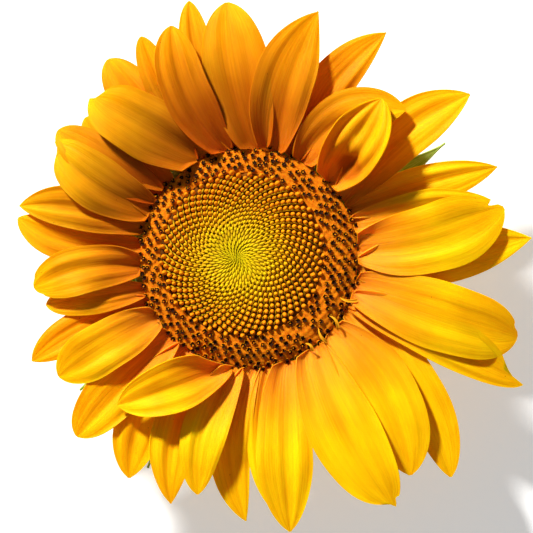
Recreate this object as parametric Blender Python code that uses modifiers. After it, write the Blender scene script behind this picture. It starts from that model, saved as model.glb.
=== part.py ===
"""A cut sunflower head with a short stub of stem, standing on the flat cut of the stub.

The bloom faces up, along +Z. The origin is the middle of the cut, on the surface it stands on.
Sizes below are in millimetres and are scaled to metres where a mesh is made.
"""

import math
import random
from collections import namedtuple

import bmesh
import bpy
from mathutils import Matrix, Vector
from mathutils.geometry import delaunay_2d_cdt

MM = 0.001
SEED = 37

# Stem stub and receptacle: radius and height down the outside, from the rim to the cut
STEM_R = 10.5
SEAT_Z = 31.2
RIM_R = 46.8
CUP = (
    (RIM_R - 0.6, SEAT_Z),
    (RIM_R, 30.2),
    (44.6, 26.8),
    (38.5, 22.8),
    (29.0, 19.2),
    (18.0, 16.2),
    (12.4, 12.8),
    (STEM_R, 8.0),
    (STEM_R, 0.0),
)
CUP_STEPS = 40

# Bracts: rows of pointed green scales under the petals
BRACTS = 28
LOW_BRACTS = 11
BRACT_THICK = 0.8
BRACT_START_DEG = 30.4
BRACT_LAG_DEG = 5.4
# Root radius, width, least and most reach, and the heights of the root, the middle and the tip,
# for the row next to the petals and the two rows under it
BRACT_ROWS = (
    (40.5, 17.5, 74.0, 82.0, 28.2, 29.0, 26.0),
    (36.0, 19.0, 72.0, 82.0, 22.6, 23.4, 19.0),
    (27.0, 19.0, 56.0, 66.0, 18.9, 18.0, 12.5),
)
# Reach of the bracts whose tips show between the petals
BRACT_SEEN = {0: 92.0, 14: 81.5, 15: 87.5, 17: 95.0}

# Ray petals
GAP = 0.3
COLLAR_IN = 43.3
COLLAR_OUT = 46.4
COLLAR_TOP = 36.4
ROOT_R = 44.0
PETAL_THICK = 0.7
CLAW = 0.42
RIDGE = 0.45
RUFFLE = 0.7
ACROSS = 4
ALONG = 6
# Heights of a petal's root, middle and tip, for the rows from the back one to the front one
ROWS = ((34.2, 40.0, 37.5), (34.7, 42.6, 40.0), (35.2, 45.3, 42.8), (35.6, 49.6, 46.0))

# Root angle from +X, tip position, sideways bow of the middle line, width, bluntness of the tip
# from 0 to 1, row, how much higher the tip is than its row's, turn about the middle line, extra
# cupping, and where along it the petal is widest
Ray = namedtuple("Ray", "root_deg x y bow width blunt row lift roll cup belly", defaults=(0.0, 0.52))
RAYS = (
    Ray(5, 101.6, 20.0, -4.0, 28.0, 0.65, 2, -2.0, 6),
    Ray(18, 96.4, 23.2, 0.0, 17.0, 0.3, 1, 1.0, 0),
    Ray(26, 99.2, 36.4, 0.5, 17.0, 0.3, 0, 2.0, 4),
    Ray(32, 88.0, 65.2, 5.0, 22.0, 0.4, 1, 2.0, -8, 0.1, 0.55),
    Ray(44, 52.4, 62.8, -2.0, 26.0, 0.5, 3, 5.0, -14, 0.8, 0.42),
    Ray(61, 62.0, 58.4, 8.0, 21.0, 0.6, 2, 5.0, -10, 0.1, 0.5),
    Ray(66, 54.8, 90.0, 5.5, 18.5, 0.3, 0, 2.0, 0),
    Ray(77.5, 27.6, 98.0, 4.5, 25.0, 0.2, 2, 1.0, 4, 0.15, 0.5),
    Ray(86, -8.8, 102.0, 1.5, 26.0, 0.8, 1, 0.0, -4),
    Ray(96.5, -24.0, 102.8, 3.5, 14.0, 0.8, 0, 0.0, 0),
    Ray(102.5, -30.8, 92.4, 5.0, 19.5, 0.8, 2, 0.0, 6, 0.1),
    Ray(114, -43.2, 88.4, 2.0, 13.0, 0.9, 0, 2.0, 0),
    Ray(122, -56.6, 79.6, 1.0, 20.0, 0.9, 0, -2.0, 0),
    Ray(116, -61.6, 63.6, 0.0, 25.5, 1.0, 2, 1.0, 4, 0.0, 0.55),
    Ray(137, -65.6, 56.0, 2.0, 17.0, 0.9, 0, 1.0, 0),
    Ray(145.5, -76.4, 50.8, 0.5, 18.5, 0.95, 1, 0.0, 8),
    Ray(153.5, -76.6, 44.0, 3.0, 21.5, 0.95, 2, -1.0, 0),
    Ray(163, -91.6, 20.8, -3.0, 18.0, 0.4, 1, 0.0, 0),
    Ray(174, -92.4, 16.0, 4.6, 16.5, 0.75, 0, 0.0, 0),
    Ray(184, -85.6, -12.0, -3.0, 19.0, 0.9, 2, -2.0, 4),
    Ray(197, -81.2, -18.8, 0.0, 13.0, 0.8, 1, -3.0, 0),
    Ray(204.5, -86.8, -41.2, -3.0, 16.0, 0.6, 0, 0.0, 0),
    Ray(213, -75.8, -47.2, -0.8, 20.5, 0.9, 2, -1.0, 0),
    Ray(225.5, -68.8, -71.2, -1.4, 21.0, 0.85, 1, 0.0, 0),
    Ray(257.5, -52.0, -58.4, 0.5, 21.5, 0.55, 3, 0.0, -12, 0.45, 0.45),
    Ray(236, -48.0, -88.0, -5.0, 21.0, 0.6, 0, 0.0, 0),
    Ray(247, -31.2, -98.0, -5.0, 19.0, 0.35, 1, 0.0, 0),
    Ray(263, -20.4, -94.0, -4.5, 18.5, 0.7, 2, 1.0, 8, 0.1, 0.42),
    Ray(272, -1.2, -105.2, -7.8, 17.0, 0.35, 0, 0.0, 0),
    Ray(280, 9.2, -100.0, -2.4, 14.0, 0.4, 0, 3.0, 0),
    Ray(290, 16.4, -109.2, -1.6, 22.5, 0.55, 1, 0.0, 0),
    Ray(305, 57.0, -98.4, -3.4, 28.0, 0.75, 2, 0.0, 4),
    Ray(319, 64.4, -86.6, 6.4, 26.5, 0.65, 1, 1.0, 0),
    Ray(333, 80.8, -87.6, 7.5, 19.0, 0.7, 0, 0.0, 0),
    Ray(338, 105.4, -44.6, 2.2, 18.5, 0.95, 1, -2.0, 0),
    Ray(345, 107.2, -32.0, -1.0, 27.5, 0.95, 2, -5.0, 0, -0.1, 0.58),
    Ray(354, 112.8, 8.0, 0.0, 24.0, 0.15, 0, 2.0, 0),
)

# Disc: closed buds in the middle, off to the upper left of it, and a ring of open florets round them
GOLDEN = math.pi * (3 - math.sqrt(5))
BUDS_X = -2.8
BUDS_Y = 1.5
BUDS_R = 33.0
EYE_X = -4.8
EYE_Y = 0.4
BUD_PITCH = 2.95
BUD_HEIGHT = 1.7
DISC_FOOT = SEAT_Z + GAP
BUDS_EDGE_Z = 37.4
BUDS_DOME = 2.2
RING_IN = BUDS_R + 0.4
RING_OUT = 42.9
FLORET_PITCH = 3.45
FLORET_HEIGHT = 4.2
RING_Z = 37.2

BRACT_GREEN = (0.13, 0.19, 0.02, 1.0)
PETAL_GOLD = (0.90, 0.46, 0.0, 1.0)
BUD_ORANGE = (0.76, 0.29, 0.012, 1.0)
FLORET_BROWN = (0.24, 0.065, 0.006, 1.0)


def material(name, colour, roughness):
    """A plain surface of one colour."""
    made = bpy.data.materials.new(name)
    made.use_nodes = True
    surface = made.node_tree.nodes["Principled BSDF"]
    surface.inputs["Base Color"].default_value = colour
    surface.inputs["Roughness"].default_value = roughness
    surface.inputs["Metallic"].default_value = 0.0
    return made


def add_object(name, bm, collection):
    """A new object from a bmesh in millimetres."""
    bmesh.ops.recalc_face_normals(bm, faces=bm.faces)
    bm.transform(Matrix.Scale(MM, 4))
    mesh = bpy.data.meshes.new(name)
    bm.to_mesh(mesh)
    bm.free()
    added = bpy.data.objects.new(name, mesh)
    collection.objects.link(added)
    return added


def applied(target):
    """Replaces the object's mesh by the one its modifiers give."""
    graph = bpy.context.evaluated_depsgraph_get()
    mesh = bpy.data.meshes.new_from_object(target.evaluated_get(graph))
    target.modifiers.clear()
    target.data = mesh


def join_all(target, pieces):
    """Joins every object of a collection into the target as one body."""
    union = target.modifiers.new("join", "BOOLEAN")
    union.operation = "UNION"
    union.operand_type = "COLLECTION"
    union.collection = pieces
    union.solver = "EXACT"
    applied(target)
    for piece in list(pieces.objects):
        bpy.data.objects.remove(piece)
    bpy.data.collections.remove(pieces)


def turned(name, profile, steps, collection):
    """A turned solid from a profile of radius and height that runs down the outside."""
    bm = bmesh.new()
    points = [bm.verts.new((r, 0.0, z)) for r, z in profile]
    for upper, lower in zip(points, points[1:]):
        bm.edges.new((upper, lower))
    body = add_object(name, bm, collection)
    screw = body.modifiers.new("turn", "SCREW")
    screw.steps = steps
    screw.render_steps = steps
    screw.use_merge_vertices = True
    screw.merge_threshold = 0.00001
    screw.use_smooth_shade = False
    return body


def blade(name, place, thick, across, along, collection):
    """A thin leaf-like blade: a grid whose points go where place(u, v) says.

    u runs from -1 to 1 across the blade and v from 0 at the root to 1 at the tip, closer set near
    the tip, where the outline turns most.
    """
    bm = bmesh.new()
    bmesh.ops.create_grid(bm, x_segments=across, y_segments=along, size=1.0)
    bmesh.ops.triangulate(bm, faces=bm.faces, quad_method="FIXED")
    for vert in bm.verts:
        step = (vert.co.y + 1) / 2
        vert.co = place(vert.co.x, 0.45 * step + 0.55 * math.sin(math.pi / 2 * step))
    made = add_object(name, bm, collection)
    solidify = made.modifiers.new("thickness", "SOLIDIFY")
    solidify.thickness = thick * MM
    solidify.offset = 0.0
    return made


def bent_line(root, middle, tip, v):
    """Point and direction on the parabola from the root through the middle to the tip."""
    control = 2 * middle - (root + tip) / 2
    point = (1 - v) ** 2 * root + 2 * v * (1 - v) * control + v * v * tip
    direction = 2 * (1 - v) * (control - root) + 2 * v * (tip - control)
    return point, direction.normalized()


def petal_half_width(ray, v):
    """Narrow at the root, widest about the middle, and round or pointed at the tip."""
    if v < ray.belly:
        share = CLAW + (1 - CLAW) * math.sin(math.pi / 2 * v / ray.belly) ** 0.6
    else:
        s = (v - ray.belly) / (1 - ray.belly)
        share = (1 - s ** (1.5 + 1.5 * ray.blunt)) ** (1 - 0.45 * ray.blunt)
    return ray.width / 2 * max(share, 0.05 + 0.08 * ray.blunt)


def petal_point(ray, index, u, v):
    """Where a petal's point lies: on an arched middle line, with an upturned and ridged section."""
    root_z, middle_z, tip_z = ROWS[ray.row]
    angle = math.radians(ray.root_deg)
    root = Vector((ROOT_R * math.cos(angle), ROOT_R * math.sin(angle), root_z))
    tip = Vector((ray.x, ray.y, tip_z + ray.lift))
    flat = Vector((tip.x - root.x, tip.y - root.y, 0.0)).normalized()
    middle = (root + tip) / 2 + ray.bow * Vector((-flat.y, flat.x, 0.0))
    middle.z = middle_z
    point, ahead = bent_line(root, middle, tip, v)
    side = Vector((0.0, 0.0, 1.0)).cross(ahead).normalized()
    side = Matrix.Rotation(math.radians(ray.roll) * math.sin(math.pi / 2 * v), 3, ahead) @ side
    up = ahead.cross(side)
    half = petal_half_width(ray, v)
    curl = 1.2 - math.sin(math.pi / 2 * min(1.0, v / 0.45)) + ray.cup * (1 - 0.5 * v)
    swell = math.sin(math.pi * v)

    def across(u):
        height = half * (1 - math.cos(curl * u)) / curl - RIDGE * math.cos(2 * math.pi * u) * swell
        height += RUFFLE * u * u * math.sin(9.0 * v + 2.4 * index + 1.2 * u) * swell
        return half * math.sin(curl * u) / curl * side + height * up

    # An edge that would reach in over the disc stops at the collar, and its half narrows with it
    edge = across(math.copysign(1.0, u)).xy
    fit = 1.0
    if (point.xy + edge).length < COLLAR_IN + 0.3:
        slope = point.xy.dot(edge)
        room = point.xy.length_squared - (COLLAR_IN + 0.3) ** 2
        fit = (-slope - math.sqrt(max(0.0, slope**2 - edge.length_squared * room))) / edge.length_squared
    return point + max(0.12, fit) * across(u)


def bract_point(azimuth, reach, row, u, v):
    """Where a bract's point lies: egg-shaped, drawn out to a long tip, with upturned edges."""
    root_r, width, _, _, root_z, middle_z, tip_z = BRACT_ROWS[row]
    out = Vector((math.cos(azimuth), math.sin(azimuth), 0.0))
    side = Vector((-out.y, out.x, 0.0))
    root = root_r * out + Vector((0.0, 0.0, root_z))
    middle = (root_r + reach) / 2 * out - 1.4 * side + Vector((0.0, 0.0, middle_z))
    tip = reach * out + Vector((0.0, 0.0, tip_z))
    point, _ = bent_line(root, middle, tip, v)
    if v < 0.28:
        share = 0.8 + 0.2 * math.sin(math.pi / 2 * v / 0.28)
    else:
        s = (v - 0.28) / 0.72
        share = max((1 - s) ** 1.35 * (1 + 0.35 * s), 0.045)
    half = width / 2 * share
    return point + half * u * side + Vector((0.0, 0.0, 0.12 * half * u * u))


def make_cup(collection):
    """The receptacle with its stem stub and bracts."""
    cup = turned("receptacle_and_bracts", ((0.0, SEAT_Z),) + CUP + ((0.0, 0.0),), CUP_STEPS, collection)
    scales = bpy.data.collections.new("bracts")
    bpy.context.scene.collection.children.link(scales)
    rng = random.Random(SEED)
    for index in range(BRACTS + LOW_BRACTS):
        turn = index / BRACTS if index < BRACTS else (index + 0.4) / LOW_BRACTS
        azimuth = BRACT_START_DEG + 360 * turn - BRACT_LAG_DEG * math.sin(math.pi * turn) ** 2
        row = 2 if index >= BRACTS else index % 2
        least, most = BRACT_ROWS[row][2:4]
        reach = BRACT_SEEN.get(index, rng.uniform(least, most))

        def place(u, v, azimuth=math.radians(azimuth), reach=reach, row=row):
            return bract_point(azimuth, reach, row, u, v)

        blade("bract", place, BRACT_THICK, 2, 5, scales)
    join_all(cup, scales)
    cup.data.materials.append(material("green bract", BRACT_GREEN, 0.7))
    return cup


def make_petals(collection):
    """The ray petals, fused to the narrow collar that carries their roots."""
    foot = SEAT_Z + GAP
    ring = (
        (COLLAR_IN, COLLAR_TOP),
        (COLLAR_OUT, COLLAR_TOP),
        (COLLAR_OUT, foot),
        (COLLAR_IN, foot),
        (COLLAR_IN, COLLAR_TOP),
    )
    petals = turned("ray_petals", ring, 48, collection)
    blades = bpy.data.collections.new("petals")
    bpy.context.scene.collection.children.link(blades)
    for index, ray in enumerate(RAYS):

        def place(u, v, ray=ray, index=index):
            return petal_point(ray, index, u, v)

        blade("petal", place, PETAL_THICK, ACROSS, ALONG, blades)
    join_all(petals, blades)
    petals.data.materials.append(material("golden petal", PETAL_GOLD, 0.55))
    return petals


def circle(x, y, radius, count):
    """Points round a circle."""
    turns = [2 * math.pi * k / count for k in range(count)]
    return [Vector((x + radius * math.cos(a), y + radius * math.sin(a))) for a in turns]


def spiral(pitch, reach):
    """Floret places in crossing spirals, one golden angle apart, round the eye."""
    spread = pitch * math.sqrt(math.sqrt(3) / 2 / math.pi)
    places = []
    index = 0.5
    while spread * math.sqrt(index) < reach:
        radius = spread * math.sqrt(index)
        angle = GOLDEN * index
        places.append(Vector((EYE_X + radius * math.cos(angle), EYE_Y + radius * math.sin(angle))))
        index += 1
    return places


def relief(name, places, edges, keep, peak, valley, foot, collection):
    """A solid whose top rises to a peak at each place and falls to valleys between them.

    edges lists the closed outlines, each as a list of points, and keep(x, y) tells the inside.
    """
    points = list(places)
    for outline in edges:
        points += outline
    found, _, faces, _, _, _ = delaunay_2d_cdt(points, [], [], 0, 1e-4)
    bm = bmesh.new()
    peaks = [bm.verts.new((p.x, p.y, 0.0)) for p in found]
    for face in faces:
        centre = sum((found[k] for k in face), Vector((0.0, 0.0))) / 3
        if keep(centre.x, centre.y):
            bm.faces.new([peaks[k] for k in face])
    bmesh.ops.delete(bm, geom=[v for v in bm.verts if not v.link_faces], context="VERTS")
    ridges = [e for e in bm.edges if not e.is_boundary]
    hollows = bmesh.ops.poke(bm, faces=bm.faces[:])["verts"]
    bmesh.ops.rotate_edges(bm, edges=ridges, use_ccw=False)
    low = set(hollows)
    for vert in bm.verts:
        rim = any(e.is_boundary for e in vert.link_edges)
        height = valley if vert in low or rim else peak
        vert.co.z = height(vert.co.x, vert.co.y)
    wall = bmesh.ops.extrude_edge_only(bm, edges=[e for e in bm.edges if e.is_boundary])["geom"]
    for vert in wall:
        if isinstance(vert, bmesh.types.BMVert):
            vert.co.z = foot
    loops = [e for e in bm.edges if e.is_boundary]
    if len(edges) == 1:
        bmesh.ops.contextual_create(bm, geom=loops)
    else:
        bmesh.ops.bridge_loops(bm, edges=loops)
    bmesh.ops.triangulate(bm, faces=[f for f in bm.faces if len(f.verts) > 3])
    return add_object(name, bm, collection)


def buds_z(x, y):
    """Height of the gaps between the buds: a low dome with a small dimple at the eye."""
    out = min(1.0, math.hypot(x - BUDS_X, y - BUDS_Y) / BUDS_R)
    eye = math.hypot(x - EYE_X, y - EYE_Y)
    return BUDS_EDGE_Z + BUDS_DOME * (1 - out * out) - 0.9 * math.exp(-((eye / 5.0) ** 2))


def bud_top(x, y):
    """Height of a bud's top: the buds are lower and finer towards the eye."""
    eye = math.hypot(x - EYE_X, y - EYE_Y)
    return buds_z(x, y) + BUD_HEIGHT * min(1.0, 0.45 + eye / 40.0)


def ring_z(x, y):
    """Height of the mass between the open florets, sloping down at the outer edge."""
    out = math.hypot(x, y)
    return RING_Z - 1.6 * max(0.0, (out - 38.0) / 5.0) + 0.35 * math.sin(1.7 * x) * math.sin(1.9 * y)


def floret_top(x, y):
    """Height of an open floret's tip, a little uneven from one to the next."""
    return ring_z(x, y) + FLORET_HEIGHT * (0.86 + 0.14 * math.sin(12.9 * x + 7.8 * y))


def make_buds(collection):
    """The closed buds and chaff in the middle of the disc."""
    rim = circle(BUDS_X, BUDS_Y, BUDS_R, 72)
    clear = BUDS_R - 0.45 * BUD_PITCH
    places = [
        p
        for p in spiral(BUD_PITCH, 2 * BUDS_R)
        if math.hypot(p.x - BUDS_X, p.y - BUDS_Y) < clear
    ]

    def keep(x, y):
        return math.hypot(x - BUDS_X, y - BUDS_Y) < BUDS_R

    buds = relief("disc_buds", places, [rim], keep, bud_top, buds_z, DISC_FOOT, collection)
    buds.data.materials.append(material("orange bud", BUD_ORANGE, 0.6))
    return buds


def make_ring(collection):
    """The ring of open florets round the buds."""
    inner = circle(BUDS_X, BUDS_Y, RING_IN, 72)
    outer = circle(0.0, 0.0, RING_OUT, 80)
    margin = 0.4 * FLORET_PITCH
    places = [
        p
        for p in spiral(FLORET_PITCH, 2 * RING_OUT)
        if math.hypot(p.x, p.y) < RING_OUT - margin
        and math.hypot(p.x - BUDS_X, p.y - BUDS_Y) > RING_IN + margin
    ]

    def keep(x, y):
        return math.hypot(x - BUDS_X, y - BUDS_Y) > RING_IN and math.hypot(x, y) < RING_OUT

    ring = relief("open_florets", places, [inner, outer], keep, floret_top, ring_z, DISC_FOOT, collection)
    ring.data.materials.append(material("brown floret", FLORET_BROWN, 0.8))
    return ring


def main():
    for old in list(bpy.data.objects):
        bpy.data.objects.remove(old)
    parts = bpy.data.collections.new("sunflower_head")
    bpy.context.scene.collection.children.link(parts)
    make_cup(parts)
    make_petals(parts)
    make_buds(parts)
    make_ring(parts)


main()
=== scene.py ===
"""Dresses the solid model of a cut sunflower head: petals, florets, chaff, bracts, hairs and stem.

It is laid out as an add-on and run as a script. Shapes are worked out in millimetres, in the
model's frame: the bloom faces up along +Z and stands on the flat cut of its stem stub at the origin.
"""

import cmath
import math
import random
from collections import namedtuple

import bmesh
import bpy
import numpy as np
from bpy.props import FloatProperty, FloatVectorProperty, IntProperty, PointerProperty
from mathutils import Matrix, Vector


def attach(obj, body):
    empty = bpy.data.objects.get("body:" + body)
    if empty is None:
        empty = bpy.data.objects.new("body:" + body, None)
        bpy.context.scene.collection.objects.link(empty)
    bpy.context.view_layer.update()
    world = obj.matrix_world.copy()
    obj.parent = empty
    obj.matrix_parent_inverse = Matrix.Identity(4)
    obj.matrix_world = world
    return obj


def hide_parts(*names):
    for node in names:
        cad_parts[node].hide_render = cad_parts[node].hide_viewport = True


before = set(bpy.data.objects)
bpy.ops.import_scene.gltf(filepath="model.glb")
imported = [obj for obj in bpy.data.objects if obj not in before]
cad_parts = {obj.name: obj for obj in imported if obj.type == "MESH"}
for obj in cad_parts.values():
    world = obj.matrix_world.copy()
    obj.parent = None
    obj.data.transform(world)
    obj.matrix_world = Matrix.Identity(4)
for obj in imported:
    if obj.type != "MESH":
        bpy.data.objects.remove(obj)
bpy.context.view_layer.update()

bl_info = {
    "name": "Sunflower head",
    "version": (1, 0, 0),
    "blender": (4, 5, 0),
    "location": "3D View > Sidebar > Sunflower",
    "description": "Petals, florets, bracts and stem of a cut sunflower head, over its solid model",
    "category": "Add Mesh",
}

MM = 0.001
PETAL_SEED, BRACT_SEED, BRISTLE_SEED = 11, 37, 4
UP = np.array((0.0, 0.0, 1.0))

# Spirals of the disc: turn from one floret to the next, and a floret's share of its pitch squared
GOLDEN = math.pi * (3 - math.sqrt(5))
PACKING = 0.866

# Petals: radii of their roots and of the rim that their edges keep out of, width at the root as a
# share of the full one, height of the ridge along the middle and of the ruffles, and heights of
# root, middle and tip from the back row to the front one
ROOT_R = 44.0
RIM_R = 43.6
CLAW = 0.42
RIDGE = 0.45
RUFFLE = 0.7
ROWS = ((34.2, 40.0, 37.5), (34.7, 42.6, 40.0), (35.2, 45.3, 42.8), (35.6, 49.6, 46.0))

# Root angle from +X, tip position, sideways bow of the middle line, width, bluntness of the tip
# from 0 to 1, row, how much higher the tip is than its row's, turn about the middle line, extra
# cupping, and where along it the petal is widest
Ray = namedtuple("Ray", "root_deg x y bow width blunt row lift roll cup belly", defaults=(0.0, 0.52))
RAYS = (
    Ray(5, 101.6, 20.0, -4.0, 28.0, 0.65, 2, -2.0, 0),
    Ray(18, 96.4, 23.2, 0.0, 17.0, 0.3, 1, 1.0, 0),
    Ray(26, 99.2, 36.4, 0.5, 17.0, 0.3, 0, 2.0, 4),
    Ray(32, 88.0, 65.2, 5.0, 22.0, 0.4, 1, 2.0, -8, 0.1, 0.55),
    Ray(44, 52.4, 62.8, -2.0, 26.0, 0.5, 3, 5.0, -14, 0.8, 0.42),
    Ray(61, 62.0, 58.4, 8.0, 21.0, 0.6, 2, 5.0, -10, 0.1, 0.5),
    Ray(66, 54.8, 90.0, 5.5, 18.5, 0.3, 0, 2.0, 0),
    Ray(77.5, 27.6, 98.0, 4.5, 25.0, 0.2, 2, 1.0, 4, 0.15, 0.5),
    Ray(86, -8.8, 102.0, 1.5, 26.0, 0.8, 1, 0.0, -4),
    Ray(96.5, -24.0, 102.8, 3.5, 14.0, 0.8, 0, 0.0, 0),
    Ray(102.5, -30.8, 92.4, 5.0, 19.5, 0.8, 2, 0.0, 6, 0.1),
    Ray(114, -43.2, 88.4, 2.0, 13.0, 0.9, 0, 2.0, 0),
    Ray(122, -56.6, 79.6, 1.0, 20.0, 0.9, 0, -2.0, 0),
    Ray(116, -61.6, 63.6, 0.0, 25.5, 1.0, 2, 1.0, 4, 0.0, 0.55),
    Ray(137, -65.6, 56.0, 2.0, 17.0, 0.9, 0, 1.0, 0),
    Ray(145.5, -76.4, 50.8, 0.5, 18.5, 0.95, 1, 0.0, 8),
    Ray(153.5, -76.6, 44.0, 3.0, 21.5, 0.95, 2, -1.0, 0),
    Ray(163, -91.6, 20.8, -3.0, 18.0, 0.4, 1, 0.0, 0),
    Ray(174, -92.4, 16.0, 4.6, 16.5, 0.75, 0, 0.0, 0),
    Ray(184, -85.6, -12.0, -3.0, 19.0, 0.9, 2, -2.0, 4),
    Ray(197, -81.2, -18.8, 0.0, 13.0, 0.8, 1, -3.0, 0),
    Ray(204.5, -86.8, -41.2, -3.0, 16.0, 0.6, 0, 0.0, 0),
    Ray(213, -75.8, -47.2, -0.8, 20.5, 0.9, 2, -1.0, 0),
    Ray(225.5, -68.8, -71.2, -1.4, 21.0, 0.85, 1, 0.0, 0),
    Ray(257.5, -52.0, -58.4, 0.5, 21.5, 0.55, 3, 0.0, 1, 0.45, 0.45),
    Ray(236, -48.0, -88.0, -5.0, 21.0, 0.6, 0, 0.0, 0),
    Ray(247, -31.2, -98.0, -5.0, 19.0, 0.35, 1, 0.0, 0),
    Ray(263, -20.4, -94.0, -4.5, 18.5, 0.7, 2, 1.0, 8, 0.1, 0.42),
    Ray(272, -1.2, -105.2, -7.8, 17.0, 0.35, 0, 0.0, 0),
    Ray(280, 9.2, -100.0, -2.4, 14.0, 0.4, 0, 3.0, 0),
    Ray(290, 16.4, -109.2, -1.6, 22.5, 0.55, 1, 0.0, 0),
    Ray(305, 57.0, -98.4, -3.4, 28.0, 0.75, 2, 0.0, 4),
    Ray(319, 64.4, -86.6, 6.4, 26.5, 0.65, 1, 1.0, 0),
    Ray(333, 80.8, -87.6, 7.5, 19.0, 0.7, 0, 0.0, 0),
    Ray(338, 105.9, -47.6, 1.6, 19.5, 0.95, 1, -2.0, 0),
    Ray(345, 107.2, -32.0, -1.0, 27.5, 0.95, 2, -5.0, 0, -0.1, 0.58),
    Ray(354, 112.8, 8.0, 0.0, 24.0, 0.15, 0, 2.0, 0),
)

# The petal that curls over its neighbours at the upper right, by root angle, and depth of its hollow
CURLED_DEG = 44
HOLLOW = 3.0

# Painted shade: burnt orange roots on the upper left petals, whose inner halves face away from the key
# light. The middle of them, by angle from +X
PAINTED_SHADE_DEG = 122

# Petals whose end is cut obliquely, by root angle
OBLIQUE = {116: 0.03, 153.5: -0.05, 305: 0.02, 338: -0.07}

# Nicks in a petal's end, by root angle: distance to the left of its middle line, depth as a share of
# its length, and breadth
NICKS = {
    5: ((3.9, 0.075, 0.9),),
    184: ((4.0, 0.02, 1.0), (-3.5, 0.015, 1.0)),
    305: ((3.2, 0.03, 1.0),),
    345: ((4.5, 0.02, 1.2),),
}

# Bracts: how many in the two upper rows and in the low one, where the first stands and how far the
# others lag behind even spacing, and by row the root radius, width, least and most reach, and
# heights of root, middle and tip. The ends of a few show between the petals, at the reach given
BRACTS = 28
LOW_BRACTS = 11
BRACT_START_DEG = 30.4
BRACT_LAG_DEG = 5.4
BRACT_WALL = 0.0007
BRACT_ROWS = (
    (40.5, 17.5, 74.0, 82.0, 28.2, 29.0, 26.0),
    (36.0, 19.0, 72.0, 82.0, 22.6, 23.4, 19.0),
    (27.0, 19.0, 56.0, 66.0, 18.9, 18.0, 12.5),
)
BRACT_SEEN = {0: 92.0, 14: 81.5, 15: 87.5, 17: 95.0}

# Receptacle and stem stub: radius and height of each corner, down the outside. The ribs swing by
# RIB_DEEP to each side of a line that lies as far inside, and bristles grow between two corners
CUP_R = (0.0, 46.2, 46.8, 44.6, 38.5, 29.0, 18.0, 12.4, 10.5, 10.5, 0.0)
CUP_Z = (31.2, 31.2, 30.2, 26.8, 22.8, 19.2, 16.2, 12.8, 8.0, 0.0, 0.0)
RIB_DEEP = 0.34
HAIRY_FROM, HAIRY_TO = 3, 9
BRISTLES = 900

# Disc: the patch of closed buds lies off to the upper left of the ring of open florets, and the eye
# of its spirals is drawn out into a short slit. Within BARE_R of the eye only the chaff shows, and
# its scales lie along the lines of every 55th floret. RING_TRIED places reach past the ring's rim
BUDS_X, BUDS_Y, BUDS_R = -2.8, 1.5, 33.0
EYE_X, EYE_Y = -4.8, 0.4
BARE_R = 10.5
SLIT = 1.2
SLIT_DEG = 14.0
DISC_FOOT = 31.5
BUDS_EDGE_Z, BUDS_DOME = 37.4, 2.2
RING_OUT, RING_Z = 43.6, 37.2
LINES = 55
RING_TRIED = 3000

# Thin straw-coloured scraps at the lower right rim: free end and held end
SCRAP_WALL = 0.00025
STRAPS = (
    ((22.4, -34.1), (25.4, -37.2)),
    ((27.7, -27.8), (31.2, -33.6)),
    ((32.1, -23.1), (35.6, -27.9)),
    ((36.4, -15.8), (43.2, -17.0)),
)


def linear(code):
    """The linear colour of an sRGB hex code."""
    parts = [int(code[k : k + 2], 16) / 255 for k in (1, 3, 5)]
    return [c / 12.92 if c <= 0.04045 else ((c + 0.055) / 1.055) ** 2.4 for c in parts] + [1.0]


def colour(name, description, code):
    """A colour that a user can change."""
    return FloatVectorProperty(
        name=name, description=description, default=linear(code), size=4, min=0, max=1, subtype="COLOR"
    )


def length(name, description, default):
    """A length that a user can change."""
    return FloatProperty(name=name, description=description, default=default, unit="LENGTH")


class PetalSettings(bpy.types.PropertyGroup):
    gold: colour("Gold", "Main colour of the petals", "#F4B904")
    base: colour("Base", "Orange at the petals' roots", "#EE9220")
    # Deep base is painted shade: burnt orange that stands in for shade on the roots of petals facing away
    # from the key light
    deep: colour("Deep base", "Burnt orange of the darker petals' roots", "#B8560A")
    thickness: length("Thickness", "Thickness of a petal", 0.00045)


class DiscSettings(bpy.types.PropertyGroup):
    bud: colour("Bud", "Closed buds at the edge of the patch", "#E4880A")
    bud_inner: colour("Inner bud", "Closed buds halfway to the eye", "#DC9E0A")
    eye: colour("Eye", "Chaff tips round the eye of the spirals", "#D8BA08")
    # Painted shade: the dark of the deep gaps between the buds
    gap: colour("Gap", "Dark gaps between the buds", "#3E2008")
    corolla: colour("Corolla", "Mouths of the open florets", "#CE6E08")
    anther: colour("Anther", "Dark anther tubes", "#240F05")
    fine_pitch: length("Pitch at the eye", "Spacing of the chaff there", 0.00025)
    bud_pitch: length("Pitch at the edge", "Spacing of the outer buds", 0.00275)
    floret_pitch: length("Open floret pitch", "Spacing of the open florets", 0.003)
    seed: IntProperty(name="Seed", description="Start of the random draws", default=5)


class GreenSettings(bpy.types.PropertyGroup):
    bract: colour("Bract", "Main colour of the bracts", "#7F9A26")
    bract_pale: colour("Bract edge", "Paler edge and veins of the bracts", "#A9B95A")
    skin: colour("Stem skin", "Skin of the stem and receptacle", "#7C9A3C")
    pith: colour("Pith", "Spongy white middle of the cut stem", "#E9E6CC")
    hair: length("Hair", "Length of a bristle", 0.0014)


class StageSettings(bpy.types.PropertyGroup):
    floor: colour("Floor", "Plain pale floor", "#F4F3F0")
    distance: length("Camera distance", "Height over the petals", 1.0)
    view_width: length("View width", "Width seen at the petals", 0.2132)


def shade_of(value):
    """A shade from a hex code, a grey level or four linear numbers."""
    if isinstance(value, str):
        return linear(value)
    return (value, value, value, 1.0) if isinstance(value, float) else value


def fill(tree, node, inputs):
    """Links each of a node's inputs to a socket or a node's first output, or sets it to a value."""
    for place, value in inputs.items():
        if isinstance(value, bpy.types.Node):
            value = value.outputs[0]
        if isinstance(value, bpy.types.NodeSocket):
            tree.links.new(value, node.inputs[place])
        else:
            node.inputs[place].default_value = value


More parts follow.
